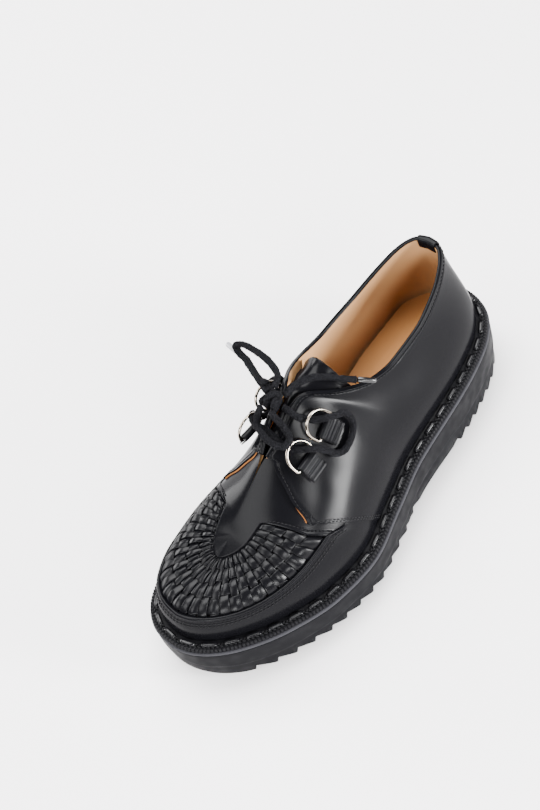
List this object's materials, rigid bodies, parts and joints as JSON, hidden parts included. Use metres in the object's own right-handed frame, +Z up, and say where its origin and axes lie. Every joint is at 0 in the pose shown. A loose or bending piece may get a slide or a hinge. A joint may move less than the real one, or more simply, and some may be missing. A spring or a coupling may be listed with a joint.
{
  "type": "creeper shoe",
  "caption": "Laced creeper shoe for the left foot: thick wedge sole with a toothed tread, stitched welt, woven toe panel and metal rings for the lace.",
  "frame": {"origin": "centre of the footprint on the floor plane", "axes": "+Y from toe to heel, +Z up, +X to the outer side of the left foot"},
  "size_m": [0.1217, 0.303, 0.1314],
  "materials": {
    "black_leather": "polished",
    "welt_leather": "satin",
    "holder_leather": "satin",
    "thong_leather": "satin",
    "black_rubber": "matte",
    "grey_band": "matte",
    "tan_leather": "satin",
    "nickel": "bright",
    "black_cotton": "matte",
    "grey_tip": "satin",
    "black_tip": "gloss"
  },
  "bodies": {
    "root": {"outsole": "black_rubber", "grey_band": "grey_band", "welt": "welt_leather", "welt_thong": "thong_leather", "insole": "tan_leather", "upper": "black_leather", "tongue": "black_leather", "woven_panel": "black_leather", "ring_outer_lower": "nickel", "ring_outer_upper": "nickel", "ring_inner_lower": "nickel", "ring_inner_upper": "nickel", "holder_outer_lower": "holder_leather", "holder_outer_upper": "holder_leather", "holder_inner_lower": "holder_leather", "holder_inner_upper": "holder_leather", "lace_crossing": "black_cotton", "lace_knot": "black_cotton", "lace_loop_top": "black_cotton", "lace_loop_lower": "black_cotton", "lace_end_grey": "black_cotton", "lace_end_black": "black_cotton", "lace_tip_grey": "grey_tip", "lace_tip_black": "black_tip"}
  },
  "joints": []
}
